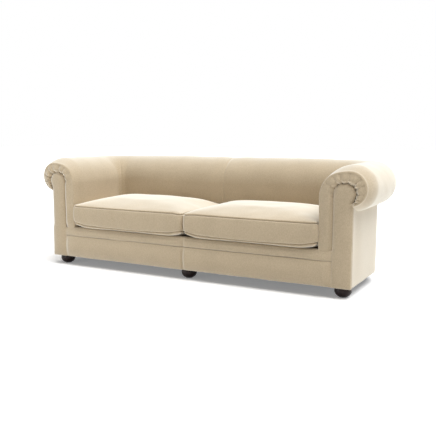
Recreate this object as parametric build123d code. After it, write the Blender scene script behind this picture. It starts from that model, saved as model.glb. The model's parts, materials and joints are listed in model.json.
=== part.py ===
from build123d import *
import os
from math import cos, hypot, pi, sin, sqrt

# A scroll-arm sofa: timber frame, webbed seat, padded scroll arms and back, two loose cushions, bun feet.
# Millimetres. +Z is up, -Y is the front, -X is the left arm as seen from the front.
# The origin is on the floor, in the middle of the sofa's box.

# Seat plan
SEAT_HALF = 868.0  # centre line to the inside face of an arm
SEAT_DEPTH = 531.0  # front plane of the arms to the inside face of the back
CORNER_R = 42.0  # inside corner between an arm and the back, seen from above
MITRE = 45.0  # degrees of the corner that the arm's cover takes
CORNER = 90.0  # degrees

# Scroll section of the arms and the back, measured outwards from the inside face
STEM = 184.0  # inside face to outside face, below the roll
ROLL_IN = 175.0  # radius of the inner half of the roll
ROLL_OUT = 115.0  # radius of the outer half of the roll
SOFT_EDGE = 30.0  # rounding of the arms' front edges

# Heights
FOOT_H = 60.0
BORDER_H = 145.0  # lower front border
STRIP_H = 59.0  # upper front strip
BACK_RISE = 464.0  # seat deck to the top of the roll

# Upholstery layers
FABRIC = 2.0
PAD = 40.0  # cover and foam of the arms and the back together
LINER = 3.0  # bent board behind the foam
PANEL = 8.0  # padded boards of the outside arms and the outside back
DUST_T = 1.0  # cloth under the base
DUST_IN = 4.0  # its edge, in from the outside face

# Front of the sofa
FRONT_RETURN = 22.0  # depth of the gathered band round the front of an arm
FACING_IN = 75.0  # inside face of the arm to the facing's inner edge
FACING_DROP = 100.0  # top of the roll to the top of the facing
FACING_HEAD_R = 52.0  # the two round corners of the facing's head
FACING_BULGE = 14.0  # the head stands this far past the outside face
FACING_NECK = 108.0  # top of the facing to its neck under the head
FACING_PUFF = 14.0  # padding before the front plane
FACING_BOARD = 6.0
FACING_BOARD_IN = 4.0  # the board's edge, in from the edge of its padding
FACING_EDGE = 11.0
BORDER_PUFF = 22.0
STRIP_PUFF = 7.0
STRIP_EDGE = 15.0

# Timber
RAIL = 32.0
BOARD = 18.0
CROSS_W = 60.0
CROSS_H = 88.0
TOP_RAIL_W = 44.0
TOP_RAIL_H = 70.0
TOP_RAIL_OUT = 153.0  # inside face of the upholstery to the inner face of the top rail
POST_W = 60.0
POST_T = 28.0
BLOCK_H = 45.0
BLOCK_D = 110.0
BACK_FORMERS = 5  # scroll formers of the back

# Seat webbing and deck
WEB_W = 70.0
WEB_T = 3.0
WEB_FIRST = 95.0  # centre line to the first strap
WEB_LAST = 23.0  # last strap to the inside face of the arm
WEBS_A_SIDE = 6
CROSS_WEBS = 3
CLIP_W = 74.0
CLIP_D = 12.0
CLIP_T = 1.5
FELT = 4.0
DECK_FOAM = 21.0

# Feet
FOOT_R = 47.5
FOOT_TOP_R = 45.0
FOOT_SOLE_R = 25.0
FOOT_BELLY = 15.0  # top of the foot to its widest place
GLIDE_R = 22.0
GLIDE_T = 3.0
FRONT_FOOT_IN = 62.0  # outside face of the arm to the foot's centre
FRONT_FOOT_BACK = 73.0  # front plane to the foot's centre
REAR_FOOT_OUT = 20.0  # rear foot's centre from the corner's axis, along X
REAR_FOOT_BACK = 110.0  # and along Y
REAR_MIDDLE_FOOT = 50.0  # in from the rear rail
BOLT_R = 4.0
BOLT_IN_FOOT = 34.0
INSERT_R = 7.0
INSERT_H = 25.0

# Cushions
FRONT_PROUD = 27.0  # the fronts of the cushions stand this far before the front plane
CUSHION_BULGE = 12.0  # swell of the front boxing between its seams
CUSHION_SIDE = 0.8  # swell of the other sides
CUSHION_GAP = 1.5  # each cushion to the centre line
CUSHION_ARM_GAP = 2.5
CUSHION_BACK_GAP = 8.0
CUSHION_CORNER = 45.0
CUSHION_DRAW = 3.0  # the sides are drawn in this far between the corners
BOXING_H = 120.0
CROWN = 38.0
CROWN_FLAT = 138.0  # level middle of the crown, front to back
BELLY = 23.7
BELLY_RUN = 80.0
ZIP_L = 620.0
ZIP_TAPE = 24.0
ZIP_TAPE_T = 1.2
ZIP_TEETH_W = 6.0
ZIP_TEETH_T = 0.8
SLIDER_L = 11.0
SLIDER_H = 12.0
SLIDER_T = 2.6
PULL_L = 22.0
PULL_W = 6.0
PULL_T = 1.4

# Clearances
FIT = 0.3  # beside or round a neighbour
THREAD = 0.1  # round a bolt or an insert

# Heights and places that follow
Z_BASE = FOOT_H
Z_SEAM = Z_BASE + BORDER_H
Z_DECK = Z_SEAM + STRIP_H
Z_FOAM = Z_DECK - FABRIC - DECK_FOAM
Z_FELT = Z_FOAM - FELT
Z_RAIL = Z_FELT - CLIP_T - WEB_T
Z_CROSS = Z_BASE + CROSS_H
TOP_Z = Z_DECK + BACK_RISE
Z_BEND = TOP_Z - ROLL_IN
Z_ROLL = TOP_Z - ROLL_OUT
REACH = ROLL_IN + ROLL_OUT
FRAME_IN = PAD + LINER
RAIL_OUT = STEM - PANEL
RAIL_IN = RAIL_OUT - RAIL
DEPTH = FRONT_PROUD + SEAT_DEPTH + REACH
Y_FRONT = FRONT_PROUD - DEPTH / 2
Y_BACK = Y_FRONT + SEAT_DEPTH
Y_FRAME = Y_FRONT + FRONT_RETURN
Y_BOARD = Y_FRAME + BOARD
AXIS_X = SEAT_HALF - CORNER_R
AXIS_Y = Y_BACK - CORNER_R
FACING_X = SEAT_HALF + FACING_IN
TOP_RAIL_Z = Z_ROLL - TOP_RAIL_H / 2
FRONT_FOOT_Y = Y_FRONT + FRONT_FOOT_BACK
FRONT_FEET = {
    "front_left": (FRONT_FOOT_IN - SEAT_HALF - STEM, FRONT_FOOT_Y),
    "front_centre": (0.0, FRONT_FOOT_Y),
    "front_right": (SEAT_HALF + STEM - FRONT_FOOT_IN, FRONT_FOOT_Y),
}
REAR_FEET = {
    "rear_left": (-AXIS_X - REAR_FOOT_OUT, AXIS_Y + REAR_FOOT_BACK),
    "rear_centre": (0.0, Y_BACK + RAIL_IN - REAR_MIDDLE_FOOT),
    "rear_right": (AXIS_X + REAR_FOOT_OUT, AXIS_Y + REAR_FOOT_BACK),
}
FEET = FRONT_FEET | REAR_FEET
EIGHTH = cos(pi / 4)
NODES = {}


def arm_plane(y):
    """Section plane across the right arm: its x runs outwards from the inside face, its y runs up."""
    return Plane(origin=(SEAT_HALF, y, 0), x_dir=(1, 0, 0), z_dir=(0, -1, 0))


def back_plane(x):
    """Section plane across the back: its x runs outwards from the inside face, its y runs up."""
    return Plane(origin=(x, Y_BACK, 0), x_dir=(0, 1, 0), z_dir=(1, 0, 0))


def front_plane(x):
    """Section plane across the front border: its x runs back from the front plane, its y runs up."""
    return Plane(origin=(x, Y_FRONT, 0), x_dir=(0, 1, 0), z_dir=(1, 0, 0))


def block(x_span, y_span, z_span):
    """A box between two limits along each axis."""
    size = [span[1] - span[0] for span in (x_span, y_span, z_span)]
    middle = [(span[0] + span[1]) / 2 for span in (x_span, y_span, z_span)]
    return Pos(*middle) * Box(*size)


def section(s_span, z_span):
    """A rectangle in a section plane."""
    width = s_span[1] - s_span[0]
    height = z_span[1] - z_span[0]
    return Pos((s_span[0] + s_span[1]) / 2, (z_span[0] + z_span[1]) / 2) * Rectangle(width, height)


def upright(x, y, radius, z_span):
    """A round bar or hole standing along Z."""
    height = z_span[1] - z_span[0]
    return Pos(x, y, (z_span[0] + z_span[1]) / 2) * Cylinder(radius, height)


def mirrored(part):
    """The same piece on the left side."""
    return mirror(part, about=Plane.YZ)


def both_sides(name, part):
    """A left node and a right node of one mirrored piece."""
    NODES[name + "_right"] = part
    NODES[name + "_left"] = mirrored(part)


def group(parts):
    """Separate solids that share a node."""
    return Compound(children=[solid for part in parts for solid in part.solids()])


def pair(part):
    """A right piece and its mirrored twin in one node."""
    return group([part, mirrored(part)])


def along_arm(face, y_start, bend):
    """Carry a section along the right arm from y_start, then round the corner by bend degrees."""
    run = extrude(arm_plane(y_start) * face, amount=AXIS_Y - y_start, dir=(0, 1, 0))
    if bend == 0:
        return run
    turn = revolve(arm_plane(AXIS_Y) * face, Axis((AXIS_X, AXIS_Y, 0), (0, 0, 1)), bend)
    return run + turn


def along_back(face, x_start, bend):
    """Carry a section along the right half of the back from x_start, then round the corner."""
    run = extrude(back_plane(x_start) * face, amount=AXIS_X - x_start, dir=(1, 0, 0))
    if bend == 0:
        return run
    turn = revolve(back_plane(AXIS_X) * face, Axis((AXIS_X, AXIS_Y, 0), (0, 0, -1)), bend)
    return run + turn


def scroll_end(inset):
    """Height where the roll's underside, moved in by inset, meets the plane of the outside face."""
    return Z_ROLL - sqrt((ROLL_OUT - inset) ** 2 - (STEM - ROLL_IN) ** 2)


def scroll_line(inset, z_start):
    """The scroll's outline, moved in by inset: up the inside face, over the roll and under it."""
    r_in = ROLL_IN - inset
    r_out = ROLL_OUT - inset
    bend_start = (inset, Z_BEND)
    crest = (ROLL_IN, TOP_Z - inset)
    over = (ROLL_IN - r_in * EIGHTH, Z_BEND + r_in * EIGHTH)
    return [
        Line((inset, z_start), bend_start),
        ThreePointArc(bend_start, over, crest),
        ThreePointArc(crest, (ROLL_IN + r_out, Z_ROLL), (STEM, scroll_end(inset))),
    ]


def scroll_band(outer, inner, z_start):
    """The layer between two insets of the scroll's outline."""
    ends = [
        Line((outer, z_start), (inner, z_start)),
        Line((STEM, scroll_end(outer)), (STEM, scroll_end(inner))),
    ]
    return make_face(scroll_line(outer, z_start) + scroll_line(inner, z_start) + ends)


def former_face(z_start):
    """A timber former: it fills the scroll inside the liner, down to z_start."""
    shoulder = (RAIL_OUT, scroll_end(FRAME_IN))
    sides = [
        Line((STEM, scroll_end(FRAME_IN)), shoulder),
        Line(shoulder, (RAIL_OUT, z_start)),
        Line((RAIL_OUT, z_start), (FRAME_IN, z_start)),
    ]
    return make_face(scroll_line(FRAME_IN, z_start) + sides)


def top_rail_face(room):
    """Section of the rail inside the roll, with room round it."""
    s_span = (TOP_RAIL_OUT - room, TOP_RAIL_OUT + TOP_RAIL_W + room)
    z_span = (TOP_RAIL_Z - room, TOP_RAIL_Z + TOP_RAIL_H + room)
    return section(s_span, z_span)


def facing_face():
    """The facing's outline: a straight pilaster with a round head that stands past the outside face."""
    top = TOP_Z - FACING_DROP
    level = top - FACING_HEAD_R
    left = FACING_IN + FACING_HEAD_R
    right = STEM + FACING_BULGE - FACING_HEAD_R
    reach = FACING_HEAD_R * EIGHTH
    fall = -pi / 6
    cheek = (right + FACING_HEAD_R * cos(fall), level + FACING_HEAD_R * sin(fall))
    neck = (STEM, top - FACING_NECK)
    edges = [
        Line((FACING_IN, Z_BASE), (FACING_IN, level)),
        ThreePointArc((FACING_IN, level), (left - reach, level + reach), (left, top)),
        Line((left, top), (right, top)),
        ThreePointArc((right, top), (right + reach, level + reach), cheek),
        Line(cheek, neck),
        Line(neck, (STEM, Z_BASE)),
        Line((STEM, Z_BASE), (FACING_IN, Z_BASE)),
    ]
    return make_face(edges)


def front_band_face(inset):
    """The whole scroll seen from the front, down to the seat deck."""
    sides = [
        Line((STEM, scroll_end(inset)), (STEM, Z_DECK)),
        Line((STEM, Z_DECK), (inset, Z_DECK)),
    ]
    return make_face(scroll_line(inset, Z_DECK) + sides)


def on_scroll(point, inset):
    """Whether a point of the right arm lies on the scroll's outline, moved in by inset."""
    out = point.X - SEAT_HALF
    if point.Z <= Z_BEND:
        gap = out - inset
    elif out <= ROLL_IN:
        gap = hypot(out - ROLL_IN, point.Z - Z_BEND) - (ROLL_IN - inset)
    else:
        gap = hypot(out - ROLL_IN, point.Z - Z_ROLL) - (ROLL_OUT - inset)
    return abs(gap) < THREAD


def arm_upholstery(inset):
    """Padding of the right arm, with its front band and soft front edge, moved in by inset."""
    y_face = Y_FRONT + inset
    depth = Y_FRAME - y_face
    band = extrude(arm_plane(y_face) * front_band_face(inset), amount=depth, dir=(0, 1, 0))
    facing_room = extrude(arm_plane(y_face) * offset(facing_face(), FIT), amount=depth, dir=(0, 1, 0))
    body = band + along_arm(scroll_band(inset, PAD, Z_DECK), y_face, MITRE) - facing_room
    front = body.edges().filter_by_position(Axis.Y, y_face - THREAD, y_face + THREAD)
    rim = [edge for edge in front if on_scroll(edge @ 0.5, inset)]
    return fillet(rim, SOFT_EDGE - inset)


def back_upholstery(inset):
    """Padding of the right half of the back, moved in by inset."""
    return along_back(scroll_band(inset, PAD, Z_DECK), 0.0, CORNER - MITRE)


def add_upholstery():
    """Foam, covers and liners of the arms and the back."""
    arm_foam = arm_upholstery(FABRIC)
    both_sides("arm_foam", arm_foam)
    both_sides("arm_cover", arm_upholstery(0.0) - arm_foam)
    back_foam = back_upholstery(FABRIC)
    both_sides("back_foam", back_foam)
    both_sides("back_cover", back_upholstery(0.0) - back_foam)
    liner = scroll_band(PAD, FRAME_IN, Z_DECK)
    NODES["arm_liners"] = pair(along_arm(liner, Y_FRAME, MITRE))
    NODES["back_liners"] = pair(along_back(liner, 0.0, CORNER - MITRE))


def add_outside_panels():
    """Padded boards that close the outside arms, round the rear corners, and the outside back."""
    face = section((RAIL_OUT, STEM), (Z_BASE, scroll_end(FRAME_IN)))
    both_sides("outside_arm", along_arm(face, Y_FRAME, CORNER))
    both_sides("outside_back", along_back(face, 0.0, 0))


def add_front():
    """Facings of the arms, and the padded strip and border under the cushions."""
    face = facing_face()
    y_board = Y_FRAME - FACING_BOARD
    y_puff = Y_FRONT - FACING_PUFF
    board = offset(face, -FACING_BOARD_IN)
    NODES["facing_boards"] = pair(extrude(arm_plane(y_board) * board, amount=FACING_BOARD, dir=(0, 1, 0)))
    pad = extrude(arm_plane(y_puff) * face, amount=y_board - y_puff, dir=(0, 1, 0))
    rim = pad.edges().filter_by_position(Axis.Y, y_puff - THREAD, y_puff + THREAD)
    both_sides("facing_pad", fillet(rim, FACING_EDGE))

    strip_top = Z_DECK - STRIP_EDGE
    turn = STRIP_EDGE * EIGHTH
    strip = make_face([
        Line((FRONT_RETURN, Z_DECK), (FRONT_RETURN, Z_SEAM)),
        Line((FRONT_RETURN, Z_SEAM), (0, Z_SEAM)),
        ThreePointArc((0, Z_SEAM), (-STRIP_PUFF, (Z_SEAM + strip_top) / 2), (0, strip_top)),
        ThreePointArc((0, strip_top), (STRIP_EDGE - turn, strip_top + turn), (STRIP_EDGE, Z_DECK)),
        Line((STRIP_EDGE, Z_DECK), (FRONT_RETURN, Z_DECK)),
    ])
    border = make_face([
        Line((FRONT_RETURN, Z_SEAM), (FRONT_RETURN, Z_BASE)),
        Line((FRONT_RETURN, Z_BASE), (0, Z_BASE)),
        ThreePointArc((0, Z_BASE), (-BORDER_PUFF, (Z_BASE + Z_SEAM) / 2), (0, Z_SEAM)),
        Line((0, Z_SEAM), (FRONT_RETURN, Z_SEAM)),
    ])
    for name, outline in (("front_strip", strip), ("front_border", border)):
        both_sides(name, extrude(front_plane(0) * outline, amount=FACING_X - FIT, dir=(1, 0, 0)))


def add_base_frame():
    """Seat rails, cross rails and the blocks that hold the feet."""
    rail_z = (Z_BASE, Z_RAIL)
    frame_x = SEAT_HALF + FRAME_IN
    side_x = SEAT_HALF + RAIL_IN
    rear_y = Y_BACK + RAIL_IN
    NODES["front_rail"] = block((-frame_x, frame_x), (Y_FRAME, Y_FRAME + RAIL), rail_z)
    NODES["rear_rail"] = block((-AXIS_X, AXIS_X), (rear_y, rear_y + RAIL), rail_z)
    rail_face = section((RAIL_IN, RAIL_OUT), rail_z)
    NODES["side_rails"] = pair(along_arm(rail_face, Y_BOARD, 0))
    axis = Axis((AXIS_X, AXIS_Y, 0), (0, 0, 1))
    NODES["corner_rails"] = pair(revolve(arm_plane(AXIS_Y) * rail_face, axis, CORNER))
    NODES["seat_back_rail"] = block((-side_x, side_x), (AXIS_Y - RAIL, AXIS_Y), (Z_CROSS, Z_RAIL))

    insert_z = (Z_BASE, Z_BASE + INSERT_H)
    holes = [upright(x, y, INSERT_R + THREAD, insert_z) for x, y in FEET.values()]
    cross = block((-CROSS_W / 2, CROSS_W / 2), (Y_FRAME + RAIL, rear_y), (Z_BASE, Z_CROSS))
    NODES["centre_cross_rail"] = cross - holes
    block_z = (Z_BASE, Z_BASE + BLOCK_H)
    front_block = block((frame_x, side_x), (Y_BOARD, Y_BOARD + BLOCK_D), block_z)
    rear_x = AXIS_X + REAR_FOOT_OUT
    foot_y = AXIS_Y + REAR_FOOT_BACK
    rear_block = block((rear_x - BLOCK_D / 2, rear_x + BLOCK_D / 2), (foot_y - BLOCK_D / 2, rear_y), block_z)
    corner_room = upright(AXIS_X, AXIS_Y, CORNER_R + RAIL_IN, block_z)
    blocks = pair(front_block - holes).solids() + pair((rear_block & corner_room) - holes).solids()
    NODES["foot_blocks"] = group(blocks)


def add_upper_frame():
    """Scroll boards and formers, the rails inside the roll, and the rear corner posts."""
    notch = top_rail_face(FIT)
    front_board = extrude(arm_plane(Y_FRAME) * former_face(Z_BASE), amount=BOARD, dir=(0, 1, 0))
    both_sides("arm_front_board", front_board)
    former = former_face(Z_RAIL) - notch
    middle_y = (Y_BOARD + AXIS_Y - BOARD) / 2
    arm_formers = []
    for y in (middle_y, AXIS_Y - BOARD):
        arm_formers.append(extrude(arm_plane(y) * former, amount=BOARD, dir=(0, 1, 0)))
    NODES["arm_formers"] = group([pair(part) for part in arm_formers])
    back_formers = []
    spacing = (2 * AXIS_X - BOARD) / (BACK_FORMERS - 1)
    for k in range(BACK_FORMERS):
        x = -AXIS_X + k * spacing
        back_formers.append(extrude(back_plane(x) * former, amount=BOARD, dir=(1, 0, 0)))
    NODES["back_formers"] = group(back_formers)

    rail = top_rail_face(0.0)
    NODES["arm_top_rails"] = pair(along_arm(rail, Y_BOARD, 0))
    NODES["back_top_rail"] = extrude(back_plane(-AXIS_X) * rail, amount=2 * AXIS_X, dir=(1, 0, 0))
    axis = Axis((AXIS_X, AXIS_Y, 0), (0, 0, 1))
    NODES["corner_top_rails"] = pair(revolve(arm_plane(AXIS_Y) * rail, axis, CORNER))
    post_in = CORNER_R + RAIL_IN
    post = block((post_in, post_in + POST_T), (-POST_W / 2, POST_W / 2), (Z_RAIL, TOP_RAIL_Z))
    NODES["corner_posts"] = pair(Pos(AXIS_X, AXIS_Y, 0) * Rot(0, 0, CORNER / 2) * post)


def add_seat():
    """Elastic webbing clipped to the rails, and the felt, foam and cloth of the deck over it."""
    web_z = (Z_RAIL, Z_RAIL + WEB_T)
    clip_z = (web_z[1], Z_FELT)
    straps = []
    clips = []
    pitch = (SEAT_HALF - WEB_LAST - WEB_FIRST) / (WEBS_A_SIDE - 1)
    for k in range(WEBS_A_SIDE):
        x = WEB_FIRST + k * pitch
        straps.append(block((x - WEB_W / 2, x + WEB_W / 2), (Y_FRAME, AXIS_Y), web_z))
        for y in (Y_FRAME + RAIL / 2, AXIS_Y - RAIL / 2):
            clips.append(block((x - CLIP_W / 2, x + CLIP_W / 2), (y - CLIP_D / 2, y + CLIP_D / 2), clip_z))
    NODES["seat_webbing"] = group([pair(part) for part in straps])
    NODES["webbing_clips"] = group([pair(part) for part in clips])
    side_x = SEAT_HALF + RAIL_IN
    open_y = (Y_FRAME + RAIL, AXIS_Y - RAIL)
    cross = []
    for k in range(CROSS_WEBS):
        y = open_y[0] + (k + 0.5) * (open_y[1] - open_y[0]) / CROSS_WEBS
        cross.append(block((-side_x, side_x), (y - WEB_W / 2, y + WEB_W / 2), (Z_RAIL - WEB_T, Z_RAIL)))
    NODES["cross_webbing"] = group(cross)
    deck_x = SEAT_HALF + PAD
    layers = {
        "deck_felt": (Z_FELT, Z_FOAM),
        "deck_foam": (Z_FOAM, Z_DECK - FABRIC),
        "deck_cover": (Z_DECK - FABRIC, Z_DECK),
    }
    for name, z_span in layers.items():
        NODES[name] = block((-deck_x, deck_x), (Y_FRAME, Y_BACK + PAD), z_span)


def add_feet():
    """Bun feet on hanger bolts in threaded inserts, their glides, and the dust cloth between."""
    top = Z_BASE - DUST_T
    belly = (FOOT_R, top - FOOT_BELLY)
    shoulder = ((FOOT_TOP_R + 2 * FOOT_R) / 3, top - FOOT_BELLY / 2)
    drop = belly[1] - GLIDE_T
    lower = (FOOT_SOLE_R + (FOOT_R - FOOT_SOLE_R) * EIGHTH, belly[1] - drop * EIGHTH)
    outline = make_face([
        Line((0, GLIDE_T), (0, top)),
        Line((0, top), (FOOT_TOP_R, top)),
        ThreePointArc((FOOT_TOP_R, top), shoulder, belly),
        ThreePointArc(belly, lower, (FOOT_SOLE_R, GLIDE_T)),
        Line((FOOT_SOLE_R, GLIDE_T), (0, GLIDE_T)),
    ])
    bun = revolve(Plane.XZ * outline, Axis.Z, 360)
    socket = upright(0, 0, BOLT_R + THREAD, (top - BOLT_IN_FOOT - FIT, top))
    foot = bun - socket
    bolts = []
    inserts = []
    glides = []
    holes = []
    insert_z = (Z_BASE, Z_BASE + INSERT_H)
    for name, (x, y) in FEET.items():
        NODES["foot_" + name] = Pos(x, y, 0) * foot
        bolts.append(upright(x, y, BOLT_R, (top - BOLT_IN_FOOT, Z_BASE + INSERT_H)))
        inserts.append(upright(x, y, INSERT_R, insert_z) - upright(x, y, BOLT_R + THREAD, insert_z))
        glides.append(upright(x, y, GLIDE_R, (0, GLIDE_T)))
        holes.append(upright(x, y, BOLT_R + FIT, (top, Z_BASE)))
    NODES["foot_bolts"] = group(bolts)
    NODES["foot_inserts"] = group(inserts)
    NODES["foot_glides"] = group(glides)
    edge = STEM - DUST_IN
    cloth = section((-SEAT_HALF - edge, SEAT_HALF + edge), (Y_FRAME, Y_BACK + edge))
    rear = cloth.vertices().sort_by(Axis.Y)[-2:]
    cloth = fillet(rear, CORNER_R + edge)
    NODES["dust_cover"] = extrude(Pos(0, 0, top) * cloth, amount=DUST_T) - holes


def cushion_outline(inset, front, side, z):
    """Plan of the right cushion: round corners, drawn-in sides, and a straight rear where the zip runs."""
    left = CUSHION_GAP + inset - side
    right = SEAT_HALF - CUSHION_ARM_GAP - inset + side
    fore = Y_FRONT - FRONT_PROUD + CUSHION_BULGE + inset - front
    rear = Y_BACK - CUSHION_BACK_GAP - inset + side
    turn = CUSHION_CORNER * (1 - EIGHTH)
    middle = ((left + right) / 2, (fore + rear) / 2)
    r = CUSHION_CORNER
    edges = [
        ThreePointArc((left + r, fore, z), (middle[0], fore + CUSHION_DRAW, z), (right - r, fore, z)),
        ThreePointArc((right - r, fore, z), (right - turn, fore + turn, z), (right, fore + r, z)),
        ThreePointArc((right, fore + r, z), (right - CUSHION_DRAW, middle[1], z), (right, rear - r, z)),
        ThreePointArc((right, rear - r, z), (right - turn, rear - turn, z), (right - r, rear, z)),
        Line((right - r, rear, z), (left + r, rear, z)),
        ThreePointArc((left + r, rear, z), (left + turn, rear - turn, z), (left, rear - r, z)),
        ThreePointArc((left, rear - r, z), (left + CUSHION_DRAW, middle[1], z), (left, fore + r, z)),
        ThreePointArc((left, fore + r, z), (left + turn, fore + turn, z), (left + r, fore, z)),
    ]
    return make_face(edges)


def cushion_form(skin):
    """The right cushion, moved in by skin: swelling boxing, crowned top and rounded belly."""
    low_seam = Z_DECK + FIT + BELLY
    high_seam = low_seam + BOXING_H
    low = low_seam + skin / 2
    high = high_seam - skin / 2
    depth = FRONT_PROUD - CUSHION_BULGE + SEAT_DEPTH - CUSHION_BACK_GAP
    crown_run = (depth - CROWN_FLAT) / 2
    steps = (0.0, 0.12, 0.42, 1.0)

    def dome(seam, rise, run):
        sections = []
        for step in steps:
            lift = rise * sqrt(1 - (1 - step) ** 2)
            sections.append(cushion_outline(skin + run * step, 0, 0, seam + lift))
        return loft(sections)

    boxing = loft([
        cushion_outline(skin, 0, 0, low),
        cushion_outline(skin, CUSHION_BULGE, CUSHION_SIDE, (low + high) / 2),
        cushion_outline(skin, 0, 0, high),
    ])
    return dome(low, -(BELLY - skin / 2), BELLY_RUN) + boxing + dome(high, CROWN - skin / 2, crown_run)


def add_cushions():
    """Two loose cushions, each a zipped cover round a foam core, with a slider that runs along its zip."""
    both_sides("cushion_cover", cushion_form(0.0) - cushion_form(FABRIC))
    both_sides("cushion_core", cushion_form(FABRIC + FIT))
    rear = Y_BACK - CUSHION_BACK_GAP + CUSHION_SIDE
    z = Z_DECK + FIT + BELLY + BOXING_H / 2
    x = (CUSHION_GAP + SEAT_HALF - CUSHION_ARM_GAP) / 2
    tape_y = (rear + FIT, rear + FIT + ZIP_TAPE_T)
    teeth_y = (tape_y[1], tape_y[1] + ZIP_TEETH_T)
    zip_x = (x - ZIP_L / 2, x + ZIP_L / 2)
    tape = block(zip_x, tape_y, (z - ZIP_TAPE / 2, z + ZIP_TAPE / 2))
    both_sides("cushion_zip", tape + block(zip_x, teeth_y, (z - ZIP_TEETH_W / 2, z + ZIP_TEETH_W / 2)))
    slider_y = (teeth_y[1] + FIT, teeth_y[1] + FIT + SLIDER_T)
    slider = block((zip_x[1] - SLIDER_L, zip_x[1]), slider_y, (z - SLIDER_H / 2, z + SLIDER_H / 2))
    pull_x = zip_x[1] - SLIDER_L / 2
    pull_z = (z - SLIDER_H / 2 - PULL_L, z - SLIDER_H / 2)
    pull = block((pull_x - PULL_W / 2, pull_x + PULL_W / 2), (slider_y[1] - PULL_T, slider_y[1]), pull_z)
    both_sides("zip_slider", slider + pull)


add_upholstery()
add_outside_panels()
add_front()
add_base_frame()
add_upper_frame()
add_seat()
add_feet()
add_cushions()

os.makedirs("parts", exist_ok=True)
for node_name, node_part in NODES.items():
    export_step(node_part, "parts/" + node_name + ".step")
print(len(NODES), "nodes")
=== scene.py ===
"""Looks of a scroll-arm sofa: velvet upholstery, loose cushions, lacquered feet and a plain studio."""

import json
import math

import bmesh
import bpy
import numpy as np
from bpy.props import FloatProperty, FloatVectorProperty, IntProperty, PointerProperty
from bpy.types import NodeSocket, Operator, Panel, PropertyGroup
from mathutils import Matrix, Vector


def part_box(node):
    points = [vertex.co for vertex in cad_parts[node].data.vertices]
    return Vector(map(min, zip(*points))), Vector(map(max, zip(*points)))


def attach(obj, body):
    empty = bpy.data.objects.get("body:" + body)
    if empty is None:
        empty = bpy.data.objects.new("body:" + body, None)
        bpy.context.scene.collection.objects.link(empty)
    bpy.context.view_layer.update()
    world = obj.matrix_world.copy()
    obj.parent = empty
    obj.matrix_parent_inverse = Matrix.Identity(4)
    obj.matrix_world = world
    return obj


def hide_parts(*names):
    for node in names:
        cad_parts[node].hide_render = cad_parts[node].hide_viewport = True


bl_info = {
    "name": "Scroll-arm sofa",
    "version": (1, 0, 0),
    "blender": (4, 5, 0),
    "location": "View3D > Sidebar > Sofa",
    "description": "Upholsters a packed sofa frame in velvet and sets it in a plain studio",
    "category": "Object",
}

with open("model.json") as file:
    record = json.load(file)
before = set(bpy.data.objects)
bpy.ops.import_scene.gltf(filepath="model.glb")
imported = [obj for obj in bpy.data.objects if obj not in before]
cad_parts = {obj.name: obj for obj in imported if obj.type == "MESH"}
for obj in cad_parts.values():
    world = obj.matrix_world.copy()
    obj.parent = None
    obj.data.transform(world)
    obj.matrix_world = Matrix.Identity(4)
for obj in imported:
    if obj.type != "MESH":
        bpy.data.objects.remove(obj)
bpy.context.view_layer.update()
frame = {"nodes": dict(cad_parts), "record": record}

# Places that the frame gives, in metres. The right side is modelled, and the left side mirrors it.
arm_low, arm_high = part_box("arm_cover_right")
panel_low, panel_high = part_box("outside_arm_right")
facing_low, facing_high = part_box("facing_pad_right")
cushion_low, cushion_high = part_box("cushion_cover_right")
SEAT_HALF = arm_low.x
Y_FRONT = arm_low.y
Z_DECK = arm_low.z
TOP_Z = arm_high.z
REACH = arm_high.x - arm_low.x
STEM = panel_high.x - SEAT_HALF
Z_BASE = panel_low.z
Y_FRAME = panel_low.y
Y_BACK = panel_high.y - STEM
Z_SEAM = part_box("front_border_right")[1].z
PANEL_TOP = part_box("outside_back_right")[1].z
FACING_IN = facing_low.x - SEAT_HALF
FACING_TOP = facing_high.z
FACING_OUT = facing_high.x - SEAT_HALF
SIDES = (("right", False), ("left", True))
SEED_STEP = 7  # from the right side's random draws to the left side's

QUARTER = math.radians(90)
MITRE = math.radians(45)
MITRE_LAP = math.radians(0.6)
CHEEK_TURN = math.radians(30)  # how far the facing's head turns under before it runs in to its neck
SEAM_LAP = 0.001
WADDING = 0.004


def metres(name, description, default):
    """A setting for a length."""
    return FloatProperty(name=name, description=description, default=default, unit="LENGTH")


def degrees(name, description, default):
    """A setting for an angle."""
    return FloatProperty(name=name, description=description, default=math.radians(default), unit="ROTATION")


def plain(name, description, default):
    """A setting for a plain number."""
    return FloatProperty(name=name, description=description, default=default)


def tint(name, description, default):
    """A setting for a colour."""
    return FloatVectorProperty(
        name=name, description=description, default=default, subtype="COLOR", size=3, min=0, max=1)


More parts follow.
